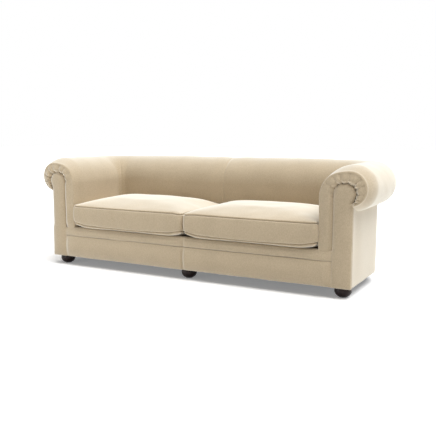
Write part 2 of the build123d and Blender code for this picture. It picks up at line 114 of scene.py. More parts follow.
class SofaSizes(PropertyGroup):
    """Sizes of the upholstery that the frame's boxes don't give."""

    corner: metres("Inside corner", "Radius between an arm and the back, seen from above", 0.042)
    roll_in: metres("Inner roll", "Radius of the inner half of the roll", 0.175)
    taper: metres("Taper", "How far the roll draws in towards its front", 0.030)
    taper_run: metres("Taper run", "How far back the roll begins to draw in", 0.110)
    rim: metres("Rim", "Rounding of the roll's front rim", 0.011)
    band_puff: metres("Band puff", "Swell of the gathered band round the facing", 0.010)
    band_dip: metres("Band dip", "How far the band sinks beside the facing", 0.011)
    pleats: IntProperty(
        name="Pleats", description="Gathers of the band round each facing's head", default=10, min=1)
    pleat_depth: metres("Pleat depth", "Depth of a gather beside the facing", 0.014)
    head_radius: metres("Facing head", "Radius of the facing's round head", 0.052)
    neck_drop: metres("Facing neck", "Top of the facing to its neck", 0.108)
    facing_puff: metres("Facing puff", "Padding of the facing over its edge", 0.016)
    facing_edge: metres("Facing edge", "Rounding of the facing's edge", 0.038)
    facing_sink: metres("Facing sink", "How far the facing's edge lies behind the arm's front", 0.010)
    border_puff: metres("Border puff", "Swell of the lower front border", 0.022)
    strip_puff: metres("Strip puff", "Swell of the upper front strip", 0.008)
    strip_edge: metres("Strip edge", "Rounding of the strip's top", 0.015)
    seam_depth: metres("Seam depth", "How far a sewn seam is drawn in", 0.004)
    seam_width: metres("Seam width", "Half width of the dip along a seam", 0.006)
    fullness: metres("Fullness", "Swell of the covers between their seams", 0.004)
    low_seam: metres("Low seam", "Cushion's underside to its lower seam", 0.024)
    high_seam: metres("High seam", "Cushion's underside to its upper seam", 0.144)
    cushion_corner: metres("Cushion corner", "Radius of the cushion's corners, seen from above", 0.030)
    crown_rise: metres("Crown rise", "Rise of the cushion's dome before it is filled", 0.040)
    crown_front: metres("Crown at the front", "Front seam to the level of the dome", 0.450)
    crown_rear: metres("Crown at the rear", "Level of the dome to the rear seam", 0.090)
    crown_arm: metres("Crown at the arm", "Seam beside the arm to the level of the dome", 0.220)
    crown_middle: metres("Crown in the middle", "Seam between the cushions to the level of the dome", 0.230)
    crown_shoulder: metres("Shoulder", "Least rise of the cushion's top before it is filled", 0.026)
    crown_run: metres("Shoulder run", "Seam to the level of the shoulder", 0.220)
    lip: metres("Lip", "Swell of the cushion's belly under the lower front seam", 0.007)
    front_lift: metres("Front lift", "How far the front of the cushion's belly stands off the deck", 0.002)
    corner_lift: metres("Corner lift", "How far the front corners of the cushion's belly lift", 0.012)
    corner_dip: metres("Corner dip", "Dip of the tops where the cushions' fronts meet", 0.006)
    cushion_belly: metres("Belly run", "Edge of the cushion to the flat of its underside", 0.060)
    cushion_seam: metres("Cushion seam", "How far the cushion's seams are drawn in", 0.016)
    front_sag: metres("Front sag", "How far the lower front seam hangs in the middle", 0.014)
    swell_cap: metres("Swell cap", "Most that the cushion's cloth may move as it fills", 0.024)


class SofaColours(PropertyGroup):
    """Colours of the finishes."""

    # Pale colour painted into the velvet as sheen, where a surface is seen edge on
    nap_painted_sheen: tint("Velvet painted sheen", "Painted sheen where the velvet is seen edge on", (0.92, 0.90, 0.82))
    nap_light: tint("Velvet light", "Velvet brushed with the nap", (0.567, 0.462, 0.322))
    nap_dark: tint("Velvet dark", "Velvet brushed against the nap", (0.442, 0.357, 0.244))
    lacquer: tint("Foot lacquer", "Dark lacquer of the feet", (0.012, 0.003, 0.0025))
    timber: tint("Timber", "Sawn hardwood of the frame", (0.48, 0.30, 0.15))
    foam: tint("Foam", "Upholstery foam", (0.84, 0.78, 0.60))
    floor: tint("Floor", "Studio floor", (0.98, 0.98, 0.975))


class SofaStudio(PropertyGroup):
    """Camera and light of the studio."""

    camera_place: FloatVectorProperty(
        name="Camera", description="Where the camera stands", subtype="XYZ", unit="LENGTH", size=3,
        default=(2.002, -3.610, 0.890))
    camera_tilt: degrees("Camera tilt", "Angle of the view from straight down", 82.356)
    camera_turn: degrees("Camera turn", "Angle of the view about the vertical", 28.675)
    camera_lens: plain("Lens", "Focal length in millimetres on the sensor", 51.745)
    sky: plain("Soft light", "Strength of the light from all round", 0.12)
    key: plain("Key light", "Strength of the light from above", 4.25)
    side: plain("Side panel", "Power of the white panel beside the right arm, in watts", 8.0)
    fill: plain("Fill panel", "Power of the weak panel before the left arm, in watts", 13.0)
    floor_glow: plain("Floor glow", "Light that the floor adds to what the camera sees of it", 0.22)
    bounce: plain("Floor bounce", "Share of the light that the floor throws back at the sofa", 0.84)


# Helpers for shapes

RIPPLE_WAVES = 7
RIPPLE_SPREAD = (0.7, 1.7)  # least and most of a wave's length, as a share


def sizes():
    """The upholstery's sizes."""
    return bpy.context.scene.sofa_sizes


def axis_of_corner():
    """Centre, seen from above, that the right rear corner turns about."""
    return SEAT_HALF - sizes().corner, Y_BACK - sizes().corner


def smooth_step(value):
    """A soft ramp from 0 to 1."""
    share = np.clip(value, 0.0, 1.0)
    return share * share * (3 - 2 * share)


def arch(share):
    """A quarter of a circle's rise, from 0 at the edge to 1."""
    return np.sqrt(1 - (1 - np.clip(share, 0, 1)) ** 2)


def dip(distance, depth, width):
    """How far a surface sinks at a distance from a line."""
    return depth * np.exp(-(distance / width) ** 2)


def seam_dip(distance):
    """How far a cover sinks at a distance from a sewn seam."""
    return dip(distance, sizes().seam_depth, sizes().seam_width)


def ripple(points, length, height, seed):
    """Soft unevenness: a few crossing waves of about that length and height."""
    draw = np.random.default_rng(seed)
    total = np.zeros(points.shape[:-1])
    for _ in range(RIPPLE_WAVES):
        way = draw.normal(size=3)
        way /= np.linalg.norm(way)
        pace = 2 * math.pi / (length * draw.uniform(*RIPPLE_SPREAD))
        total += np.sin(points @ way * pace + draw.uniform(0, 2 * math.pi))
    return height * total / math.sqrt(RIPPLE_WAVES)


def creases(points, waves, seed):
    """Ripples of several lengths and heights together."""
    return sum(ripple(points, length, height, seed + k) for k, (length, height) in enumerate(waves))


def steps_to(end, count):
    """Even steps from 0, without it, to an end."""
    return np.linspace(0, end, count + 1)[1:]


def close_to_ends(length, fine, pace):
    """Places along a length, close together near both ends."""
    count = max(3, round((length - 2 * fine[-1]) / pace))
    middle = np.linspace(fine[-1], length - fine[-1], count + 1)
    start = np.array(fine[:-1])
    return np.concatenate([start, middle, length - start[::-1]])


def grid_normals(points):
    """Unit normals of a grid of points."""
    normals = np.cross(np.gradient(points, axis=0), np.gradient(points, axis=1))
    return normals / np.maximum(np.linalg.norm(normals, axis=-1, keepdims=True), 1e-9)


def facing(points, way):
    """The grid with its rows in the order that makes its middle face that way."""
    normals = grid_normals(points)
    middle = normals[points.shape[0] // 2, points.shape[1] // 2]
    return points if middle @ np.array(way) > 0 else points[::-1]


def swollen(points, height):
    """The grid moved outwards by a height at each point."""
    return points + grid_normals(points) * height[..., None]


def link_mesh(name, coordinates, faces):
    """A new smooth mesh object."""
    mesh = bpy.data.meshes.new(name)
    mesh.from_pydata(coordinates.tolist(), [], faces.tolist())
    mesh.polygons.foreach_set("use_smooth", [True] * len(mesh.polygons))
    mesh.update()
    piece = bpy.data.objects.new(name, mesh)
    bpy.context.scene.collection.objects.link(piece)
    return piece


def grid_piece(name, points, mirrored):
    """A mesh object of a grid of points, on the right or mirrored to the left."""
    rows, columns = points.shape[:2]
    coordinates = points.reshape(-1, 3).copy()
    index = np.arange(rows * columns).reshape(rows, columns)
    quads = np.stack([index[:-1, :-1], index[1:, :-1], index[1:, 1:], index[:-1, 1:]], -1).reshape(-1, 4)
    if mirrored:
        coordinates[:, 0] *= -1
        quads = quads[:, ::-1]
    return link_mesh(name, coordinates, quads)


def give_thickness(piece, thickness=WADDING):
    """Cloth and wadding behind the surface of an open shell, with crisp cut edges."""
    work = bmesh.new()
    work.from_mesh(piece.data)
    for edge in work.edges:
        edge.smooth = not edge.is_boundary
    work.to_mesh(piece.data)
    work.free()
    shell = piece.modifiers.new("backing", "SOLIDIFY")
    shell.thickness = thickness
    shell.offset = -1.0


def fit_piece(piece, body, nodes, slot):
    """The piece rides on a body, stands for its nodes and takes its finish."""
    piece.data.materials.append(finish(slot))
    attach(piece, body)
    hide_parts(*nodes)


# Shapes of the arms and the back

FACE_STEPS = 26
ROLL_STEPS = 100
HEAD_STEPS = 40
CORNER_ROWS = 15
ARM_ROWS = 24
TAPER_ROWS = 12
RIM_ROWS = 8
BAND_ROWS = 18
TAPER_BEND = 1.6
FACE_DRAW = 0.25  # share of the taper on the arm's inner face
FACE_TURN = 0.9  # turn of the normal, away from that face, over which the taper grows to its whole
EVEN_RUN = 0.05  # ripples fade over this run towards a seam
BAND_RISE = 0.06  # the band's puff grows from the deck over this height
BAND_BEND = 1.3
BAND_SINK = 0.6  # share of the band's width where it begins to sink towards the facing
MITRE_LEFT = 0.15  # share of the corner seam's depth that is left on the roll
MITRE_TOP = 0.02  # below the top, where that seam begins to deepen
MITRE_RUN = 0.08
BACK_EASE = (0.10, 0.25)  # runs from the centre seam and from the corner to the back's full swell
TUCK = 0.004  # covers run in behind their neighbours by this
FOOT_RUN = 0.012  # height over which the arm's front turns down to the strip
FOOT_DROP = 0.8  # share of the strip's edge that it turns down by
FOOT_BACK = 0.006  # how far it draws back there
BACK_PACE = 0.02
BACK_ENDS = (0, 0.003, 0.006, 0.01, 0.016, 0.025)
# Ripples as pairs of length and height
ARM_CREASES = ((0.16, 0.0007), (0.05, 0.0002))
BACK_CREASES = ((0.22, 0.0008), (0.06, 0.0002))
FACING_CREASES = ((0.07, 0.0005),)
STRIP_CREASES = ((0.20, 0.0008), (0.045, 0.00025))
PANEL_CREASES = ((0.25, 0.0008),)
DECK_CREASES = ((0.30, 0.0009),)
DUST_CREASES = ((0.12, 0.00015),)
# Gathers: first and last place round the head, in quarter turns, and the least and most of what is drawn
PLEAT_PLACES = (1.02, 3.66)
PLEAT_SHIFT = 0.06
PLEAT_DEPTHS = (0.75, 1.1)
PLEAT_FADES = (0.45, 0.9)
PLEAT_GROWTH = (0.6, 1.2)
PLEAT_BEND = 0.8
PLEAT_END = 0.006  # run beyond the first and last gather over which they die out
PLEAT_RIM = 0.25  # share of a gather's depth at the rim


def arc(across, up, radius, turn):
    """Points of an arc about a centre, at each angle of turn."""
    return np.column_stack([across + radius * np.cos(turn), up + radius * np.sin(turn)])


def scroll_profile(roll_steps):
    """Points and outward normals of the scroll, from the deck up the inside and over to the underside."""
    r_in = sizes().roll_in
    r_out = REACH - r_in
    z_bend = TOP_Z - r_in
    z_roll = TOP_Z - r_out
    end = -math.acos((STEM - r_in) / r_out)
    rise = np.linspace(Z_DECK, z_bend, FACE_STEPS, endpoint=False)
    inner = np.linspace(math.pi, QUARTER, roll_steps, endpoint=False)
    outer = np.linspace(QUARTER, end, roll_steps)
    face = np.column_stack([np.zeros(FACE_STEPS), rise])
    points = np.vstack([face, arc(r_in, z_bend, r_in, inner), arc(r_in, z_roll, r_out, outer)])
    normals = np.vstack([np.tile((-1.0, 0.0), (FACE_STEPS, 1)), arc(0, 0, 1, np.concatenate([inner, outer]))])
    return points, normals


def on_arm(section, y):
    """A section of the right arm at y."""
    across, up = section.T
    return np.column_stack([SEAT_HALF + across, np.broadcast_to(y, across.shape), up])


def on_back(section, x):
    """A section of the back at x."""
    across, up = section.T
    return np.column_stack([np.broadcast_to(x, across.shape), Y_BACK + across, up])


def on_corner(section, angle):
    """A section turned round the right rear corner, from the arm at 0 to the back at a quarter turn."""
    across, up = section.T
    axis_x, axis_y = axis_of_corner()
    reach = sizes().corner + across
    return np.column_stack([axis_x + reach * math.cos(angle), axis_y + reach * math.sin(angle), up])


def facing_head():
    """The facing's round head: its radius, the height and both sides of its middle, and its neck's height."""
    radius = sizes().head_radius
    level = FACING_TOP - radius
    return radius, level, FACING_IN + radius, FACING_OUT - radius, FACING_TOP - sizes().neck_drop


def head_line():
    """The facing's edge above the deck: up its inner side, over its round head and in to its neck."""
    radius, level, left, right, neck = facing_head()
    rise = np.linspace(Z_DECK, level, HEAD_STEPS, endpoint=False)
    inner = np.linspace(math.pi, QUARTER, HEAD_STEPS)
    outer = np.linspace(QUARTER, -CHEEK_TURN, HEAD_STEPS)
    return np.vstack([
        np.column_stack([np.full(HEAD_STEPS, FACING_IN), rise]),
        arc(left, level, radius, inner),
        arc(right, level, radius, outer),
        [(STEM, neck)],
    ])


def quarter_places(line):
    """Length along a line, rescaled so that each quarter turn round the head ends on a whole number."""
    middle = ((FACING_IN + FACING_OUT) / 2, FACING_TOP - sizes().head_radius)
    angle = -np.unwrap(np.arctan2(line[:, 1] - middle[1], line[:, 0] - middle[0]))
    length = np.concatenate([[0.0], np.cumsum(np.linalg.norm(np.diff(line, axis=0), axis=1))])
    turns = [np.interp(quarter * QUARTER, angle, length) for quarter in (2, 3, 4)]
    keys = [0.0, *turns, length[-1]]
    return np.interp(length, keys, range(len(keys)))


def pleat_fold(place, share, seed):
    """Depth of the gathers at a place round the head, from the rim at share 0 to the facing at share 1."""
    draw = np.random.default_rng(seed)
    count = sizes().pleats
    centres = np.linspace(*PLEAT_PLACES, count) + draw.uniform(-PLEAT_SHIFT, PLEAT_SHIFT, count)
    growth = np.linspace(*PLEAT_GROWTH, count).clip(0, 1)
    depths = sizes().pleat_depth * draw.uniform(*PLEAT_DEPTHS, count) * growth
    fades = draw.uniform(*PLEAT_FADES, count)
    number = np.interp(place, centres, range(count))
    nearest = np.rint(number).astype(int)
    valley = 1 - np.abs(np.sin(math.pi * number)) ** PLEAT_BEND
    reach = 2 * sizes().head_radius
    beyond = np.maximum(np.maximum(centres[0] - place, place - centres[-1]), 0) * reach
    fold = depths[nearest] * valley * np.exp(-(beyond / PLEAT_END) ** 2)
    return fold * (PLEAT_RIM + (1 - PLEAT_RIM) * share ** fades[nearest])


def off_mitre(points):
    """Distance of each point from the corner's mitre, seen from above."""
    axis_x, axis_y = axis_of_corner()
    return np.abs((points[..., 0] - axis_x) - (points[..., 1] - axis_y)) / math.sqrt(2)


def mitre_dip(points, beyond):
    """The corner seam, for points beyond the corner's axis: deep on the inside, slight on the roll."""
    hold = MITRE_LEFT + (1 - MITRE_LEFT) * smooth_step((TOP_Z - MITRE_TOP - points[..., 2]) / MITRE_RUN)
    return np.where(beyond, seam_dip(off_mitre(points)), 0) * hold


def arm_grid(seed):
    """The right arm's cover: round the corner, along the roll, over the front rim and in to the facing."""
    size = sizes()
    section, outward = scroll_profile(ROLL_STEPS)
    axis_y = axis_of_corner()[1]
    turns = np.linspace(MITRE + MITRE_LAP, 0, CORNER_ROWS, endpoint=False)
    rows = [on_corner(section, angle) for angle in turns]
    rows += [on_arm(section, y) for y in np.linspace(axis_y, Y_FRONT + size.taper_run, ARM_ROWS)]
    straight = len(rows)
    draw_in = size.taper * (FACE_DRAW + (1 - FACE_DRAW) * smooth_step((outward[:, 0:1] + 1) / FACE_TURN))
    for share in steps_to(1, TAPER_ROWS):
        inset = draw_in * share ** TAPER_BEND
        y = Y_FRONT + size.taper_run * (1 - share) + size.rim * share
        rows.append(on_arm(section - outward * inset, y))
    for turn in steps_to(QUARTER, RIM_ROWS):
        inset = draw_in + size.rim * (1 - math.cos(turn))
        rows.append(on_arm(section - outward * inset, Y_FRONT + size.rim * (1 - math.sin(turn))))
    rim = section - outward * (draw_in + size.rim)
    edge = head_line()
    place = quarter_places(rim)
    edge_place = quarter_places(edge)
    seam = np.column_stack([np.interp(place, edge_place, edge[:, k]) for k in (0, 1)])
    rise = smooth_step((rim[:, 1] - Z_DECK) / BAND_RISE)
    for share in steps_to(1, BAND_ROWS):
        puff = size.band_puff * math.sin(math.pi * share ** BAND_BEND) * rise
        sink = size.band_dip * smooth_step((share - BAND_SINK) / (1 - BAND_SINK))
        y = Y_FRONT - puff + sink + pleat_fold(place, share, seed)
        rows.append(on_arm(rim + (seam - rim) * share, y))
    rows.append(on_arm(seam, Y_FRAME - TUCK))
    for row in rows[straight:]:
        below = dip(row[:, 2] - Z_DECK, 1.0, FOOT_RUN)
        row[:, 2] -= FOOT_DROP * size.strip_edge * below
        row[:, 1] += FOOT_BACK * below
    points = facing(np.array(rows), (-0.7, 0, 0.7))
    behind = points[..., 1] > axis_y
    even = np.where(behind, smooth_step(off_mitre(points) / EVEN_RUN), 1)
    return swollen(points, creases(points, ARM_CREASES, seed) * even - mitre_dip(points, behind))


def back_grid(seed):
    """The right half of the back's cover, from the mitre round the corner to the centre seam."""
    section, _ = scroll_profile(ROLL_STEPS // 2)
    axis_x = axis_of_corner()[0]
    turns = np.linspace(MITRE - MITRE_LAP, QUARTER, CORNER_ROWS, endpoint=False)
    rows = [on_corner(section, angle) for angle in turns]
    rows += [on_back(section, axis_x - run) for run in close_to_ends(axis_x, BACK_ENDS, BACK_PACE)]
    rows.append(on_back(section, -SEAM_LAP))
    points = facing(np.array(rows), (0, -0.7, 0.7))
    x = points[..., 0]
    aside = x > axis_x
    swell = sizes().fullness * smooth_step(x / BACK_EASE[0]) * smooth_step((axis_x - x) / BACK_EASE[1])
    even = np.where(aside, smooth_step(off_mitre(points) / EVEN_RUN), smooth_step(x / EVEN_RUN))
    soft = creases(points, BACK_CREASES, seed) * even
    return swollen(points, swell + soft - mitre_dip(points, aside) - seam_dip(x))


# Shapes of the facings, the front and the outside

PUFF_BEND = 0.8  # roundness of a swell
FACING_ROWS = 70
FACING_COLUMNS = 26
HEAD_ROWS = 19
HEAD_END = math.radians(86)
FACING_LOW = (0, 0.002, 0.005, 0.010, 0.016, 0.024)  # close rows over the facing's lower edge
FACING_SIDE = 0.002  # sink of the facing's edge below the deck
FACING_MIDDLE = 0.004  # further puff along its middle
FACING_DEPTH = 0.010  # how far its sides run back past the frame's front
FACING_CLOSE = 0.06  # share by which its sides draw in, under the outside panels
FACING_EASE = 0.02  # the edge's sink changes over this height above and below the deck
FACING_FOOT = 0.05  # height over which the middle's puff begins
FACING_SLOPE = 1.6  # how much faster the lower edge rounds off than the sides
STRIP_ENDS = (0, 0.002, 0.004, 0.007, 0.011, 0.018, 0.026, 0.035)
STRIP_PACE = 0.025
CENTRE_DIP = (0.6, 0.010)  # share and run of the centre seam
END_RUN = 0.026  # the strips' ends round back over this run
STRIP_HOLD = 0.6  # share by which an end is drawn back
BORDER_HOLD = 0.85
SEAM_GAP = 0.0006  # each side of the seam between strip and border
SEAM_IN = 0.012  # how far both run back into it
STRIP_STEPS = 16
STRIP_IN = 0.006  # how far the strip runs in over the deck, past the frame's front
BORDER_STEPS = 30
BORDER_FOLD = 0.002  # radius of the border's turn under the base
BORDER_UNDER = ((0.020, 0), (0.008, 0), (BORDER_FOLD, 0.0006))  # back and up, before that turn
PANEL_ENDS = (0, 0.003, 0.006, 0.011, 0.02, 0.035)
PANEL_RISE = (0.003, 0.008, 0.016, 0.03)
PANEL_UNDER = ((0.012, 0), (0.003, 0.0004))  # in and up, where a panel turns under the base
PANEL_BEND = 0.6
PANEL_PACE = 0.03
PANEL_ROWS = 28
PANEL_TURNS = 24
PANEL_FULL = 0.8  # share of the covers' fullness
PANEL_EASE = (0.15, 0.05)  # runs from a panel's two ends to its full swell


def facing_grid(seed):
    """The padded facing of the right arm: a pilaster with a round head, fuller in the middle."""
    size = sizes()
    radius, level, left, right, neck = facing_head()
    cheek_out = right + radius * math.cos(CHEEK_TURN)
    cheek = level - radius * math.sin(CHEEK_TURN)
    turn = steps_to(HEAD_END, HEAD_ROWS)
    low = Z_BASE + np.array(FACING_LOW)
    shaft = np.linspace(low[-1], level, FACING_ROWS)[1:]
    up = np.concatenate([low, shaft, level + radius * np.sin(turn), [FACING_TOP]])
    over = np.clip(up - level, 0, radius)
    s_left = left - np.sqrt(radius ** 2 - over ** 2)
    round_side = right + np.sqrt(np.maximum(radius ** 2 - (up - level) ** 2, 0))
    s_right = np.where(up > cheek, round_side, np.interp(up, [neck, cheek], [STEM, cheek_out]))
    across = (1 - np.cos(np.linspace(0, math.pi, FACING_COLUMNS))) / 2
    s = s_left[:, None] + (s_right - s_left)[:, None] * across
    z = np.broadcast_to(up[:, None], s.shape)
    off_middle = np.where(s < left, np.hypot(s - left, z - level), np.hypot(s - right, z - level))
    head = np.where((s > left) & (s < right), FACING_TOP - z, radius - off_middle)
    side = np.minimum(s - s_left[:, None], s_right[:, None] - s)
    inward = np.maximum(np.where(z > level, head, side), 0)
    inward = np.minimum(inward, (z - Z_BASE) * FACING_SLOPE)
    near = 1 - np.clip(inward / size.facing_edge, 0, 1)
    ease = smooth_step((z - Z_DECK + FACING_EASE) / (2 * FACING_EASE))
    sink = FACING_SIDE + (size.facing_sink - FACING_SIDE) * ease
    height = (size.facing_puff - size.facing_sink + sink) * (1 - near ** 2) ** PUFF_BEND
    middle = np.sin(math.pi * across)[None, :] * np.clip((z - Z_BASE) / FACING_FOOT, 0, 1)
    y = Y_FRONT + sink - height - FACING_MIDDLE * middle
    points = facing(np.stack([SEAT_HALF + s, y, z], -1), (0, -1, 0))
    inside = np.clip((Y_FRONT - points[..., 1]) / (size.facing_puff - size.facing_sink), 0, 1)
    return swollen(points, creases(points, FACING_CREASES, seed) * inside)


def close_edges(piece):
    """Carry the open edge of a facing back and a little inwards, so that its sides show."""
    work = bmesh.new()
    work.from_mesh(piece.data)
    rim = [edge for edge in work.edges if edge.is_boundary]
    across = [vertex.co.x for vertex in work.verts]
    centre = (min(across) + max(across)) / 2
    grown = bmesh.ops.extrude_edge_only(work, edges=rim)
    for item in grown["geom"]:
        if isinstance(item, bmesh.types.BMVert):
            item.co.y = Y_FRAME + FACING_DEPTH
            item.co.x = centre + (item.co.x - centre) * (1 - FACING_CLOSE)
    bmesh.ops.recalc_face_normals(work, faces=work.faces)
    work.to_mesh(piece.data)
    work.free()
    piece.data.polygons.foreach_set("use_smooth", [True] * len(piece.data.polygons))


def rolled_strip(section, seed, hold):
    """The right half of a padded strip across the front, drawn in at the centre seam and at the facing."""
    reach = SEAT_HALF + FACING_IN
    places = close_to_ends(reach, STRIP_ENDS, STRIP_PACE)
    places[0] = -SEAM_LAP
    back, up = section.T
    rows = []
    for x in places:
        draw_in = dip(x, *CENTRE_DIP) + dip(reach - x, hold, END_RUN)
        share = np.clip(1 - draw_in, 0, 1)
        y = Y_FRONT + np.where(back < 0, back * share, back) + TUCK * draw_in
        rows.append(np.column_stack([np.full(len(up), x), y, up]))
    points = facing(np.array(rows), (0, -1, 0))
    return swollen(points, creases(points, STRIP_CREASES, seed))


def bow(start, end, puff, steps):
    """A swelling line from one height to another, before the front plane."""
    share = np.linspace(0, 1, steps)
    return np.column_stack([-puff * (1 - (2 * share - 1) ** 2) ** PUFF_BEND, start + (end - start) * share])


def strip_grid(seed):
    """The upper strip: out of the seam, up its swell and over its soft top to the deck."""
    size = sizes()
    top = Z_DECK - size.strip_edge
    turn = steps_to(QUARTER, RIM_ROWS)
    section = np.vstack([
        [(SEAM_IN, Z_SEAM + SEAM_GAP), (TUCK, Z_SEAM + SEAM_GAP / 2)],
        bow(Z_SEAM + SEAM_GAP, top, size.strip_puff, STRIP_STEPS),
        np.column_stack([size.strip_edge * (1 - np.cos(turn)), top + size.strip_edge * np.sin(turn)]),
        [(Y_FRAME - Y_FRONT + STRIP_IN, Z_DECK)],
    ])
    return rolled_strip(section, seed, STRIP_HOLD)


def border_grid(seed):
    """The lower border: from under the base, up its swell and into the seam."""
    section = np.vstack([
        [(back, Z_BASE + up) for back, up in BORDER_UNDER],
        bow(Z_BASE + BORDER_FOLD, Z_SEAM - SEAM_GAP, sizes().border_puff, BORDER_STEPS),
        [(TUCK, Z_SEAM - SEAM_GAP / 2), (SEAM_IN, Z_SEAM - SEAM_GAP)],
    ])
    return rolled_strip(section, seed, BORDER_HOLD)


def panel_section():
    """Section of an outside panel: from under the base, up the outside and under the roll."""
    up = Z_BASE + close_to_ends(PANEL_TOP - Z_BASE, PANEL_RISE, PANEL_PACE)
    under = [(STEM - back, Z_BASE + rise) for back, rise in PANEL_UNDER]
    return np.vstack([under, np.column_stack([np.full(len(up), STEM), up])])


def full_panel(points, along, drawn, seed, way):
    """An outside panel, full and softly uneven between its edges, drawn in at a seam and facing a way."""
    length = along[-1, 0]
    top = points[..., 2].max()
    up = np.clip((points[..., 2] - Z_BASE) / (top - Z_BASE), 0, 1)
    ends = smooth_step(along / PANEL_EASE[0]) * smooth_step((length - along) / PANEL_EASE[1])
    swell = sizes().fullness * PANEL_FULL * np.sin(math.pi * up) ** PANEL_BEND * ends
    soft = creases(points, PANEL_CREASES, seed) * smooth_step(along / EVEN_RUN)
    height = swell - drawn + soft * smooth_step((length - along) / EVEN_RUN)
    turned = facing(points, way)
    return swollen(turned, height if turned is points else height[::-1])


def outside_arm_grid(seed):
    """The outside of the right arm, from the facing back and round the rear corner."""
    section = panel_section()
    rows = [on_arm(section, y) for y in np.linspace(Y_FRAME, axis_of_corner()[1], PANEL_ROWS)]
    rows += [on_corner(section, angle) for angle in steps_to(QUARTER, PANEL_TURNS)]
    points = np.array(rows)
    steps = np.linalg.norm(np.diff(points[:, -1], axis=0), axis=1)
    along = np.concatenate([[0], np.cumsum(steps)])[:, None]
    return full_panel(points, along, 0, seed, (1, 0.2, 0))


def outside_back_grid(seed):
    """The right half of the outside back, from the corner to the centre seam."""
    section = panel_section()
    places = close_to_ends(axis_of_corner()[0], PANEL_ENDS, PANEL_PACE)
    places[0] = -SEAM_LAP
    points = np.array([on_back(section, x) for x in places])
    along = places[:, None]
    return full_panel(points, along, seam_dip(along), seed, (0, 1, 0))


# Cushions

CLOTH_FRAMES = 20
CLOTH = {
    "quality": 6, "mass": 0.25, "tension_stiffness": 12, "compression_stiffness": 12, "shear_stiffness": 4,
    "bending_stiffness": 1.5, "use_pressure": True, "uniform_pressure_force": 4,
    "vertex_group_mass": "seams", "shrink_min": -0.006,
}
CUSHION_PACE = 0.013
BOXING_PACE = 0.012
CUSHION_ENDS = (0, 0.004, 0.009, 0.015, 0.022, 0.030)
CUSHION_CLEAR = 0.0008  # side and rear of the cushion to its box
BELLY_CLEAR = 0.002
FRONT_ROOM = 0.012  # front seam to the front of the box, and what may swell before it
FRONT_KEEP = 0.004  # part of that room that the boxing leaves free
CROWN_ROOM = 0.036  # what may swell above the box
FRONT_BEND = 1.25  # how late the dome rises behind the front seam, and likewise the others
MIDDLE_BEND = 1.6
ARM_BEND = 1.2
BLEND = 4  # sharpness of the turn from shoulder to dome, and round the shoulder's corners
SEAM_TIGHT = 0.55
CALM_ROUNDS = 8
# Runs behind the front seam, and from a side seam, over which the cushion changes
BULGE_RUN = 0.10
SAG_RUN = 0.12
LIFT_RUN = (0.09, 0.11)
DIP_RUN = (0.14, 0.09)
LIP_RUN = 0.030
# Front face, and creases of the front and of the rest
FRONT_FROM, FRONT_RUN = 0.07, 0.05
FRONT_WAVES = (0.05, 0.0009)
FRONT_STRETCH = (1.0, 0.2, 0.25)
TOP_WAVES = (0.14, 0.0008)


def cushion_cube(counts):
    """Grid places on the surface of a cube, as index triples, and the quads between them."""
    index = {}
    quads = []

    def side(axis, level):
        first, second = [other for other in range(3) if other != axis]
        for i in range(counts[first]):
            for j in range(counts[second]):
                ring = []
                for di, dj in ((0, 0), (1, 0), (1, 1), (0, 1)):
                    key = [0, 0, 0]
                    key[axis] = level
                    key[first] = i + di
                    key[second] = j + dj
                    ring.append(index.setdefault(tuple(key), len(index)))
                outward = (level > 0) != (axis == 1)
                quads.append(ring if outward else ring[::-1])

    for axis in range(3):
        side(axis, 0)
        side(axis, counts[axis])
    return np.array(list(index)), np.array(quads)


def cushion_plan(x, y, low, high, radius):
    """Plan places with the corners of their rectangle rounded."""
    middle = (low + high) / 2
    half = (high - low) / 2
    offset = np.stack([x, y], -1) - middle
    corner = np.maximum(np.abs(offset) - (half - radius), 0) / radius
    a, b = corner[..., 0], corner[..., 1]
    both = (a > 0) & (b > 0)
    a_round = np.where(both, a * np.sqrt(1 - b ** 2 / 2), a)
    b_round = np.where(both, b * np.sqrt(1 - a ** 2 / 2), b)
    moved = np.minimum(np.abs(offset), half - radius) + np.stack([a_round, b_round], -1) * radius
    return middle + np.sign(offset) * moved


def cushion_crown(to_sides):
    """Rise of the cushion's top, from the distances to its middle, arm, front and rear seams."""
    size = sizes()
    middle, arm, front, rear = to_sides
    dome = arch(front / size.crown_front) ** FRONT_BEND * arch(rear / size.crown_rear)
    dome *= arch(middle / size.crown_middle) ** MIDDLE_BEND * arch(arm / size.crown_arm) ** ARM_BEND
    near = np.sum(np.maximum(to_sides, 1e-6) ** -float(BLEND), axis=0) ** (-1 / BLEND)
    shoulder = size.crown_shoulder * arch(near / size.crown_run)
    return ((size.crown_rise * dome) ** BLEND + shoulder ** BLEND) ** (1 / BLEND)


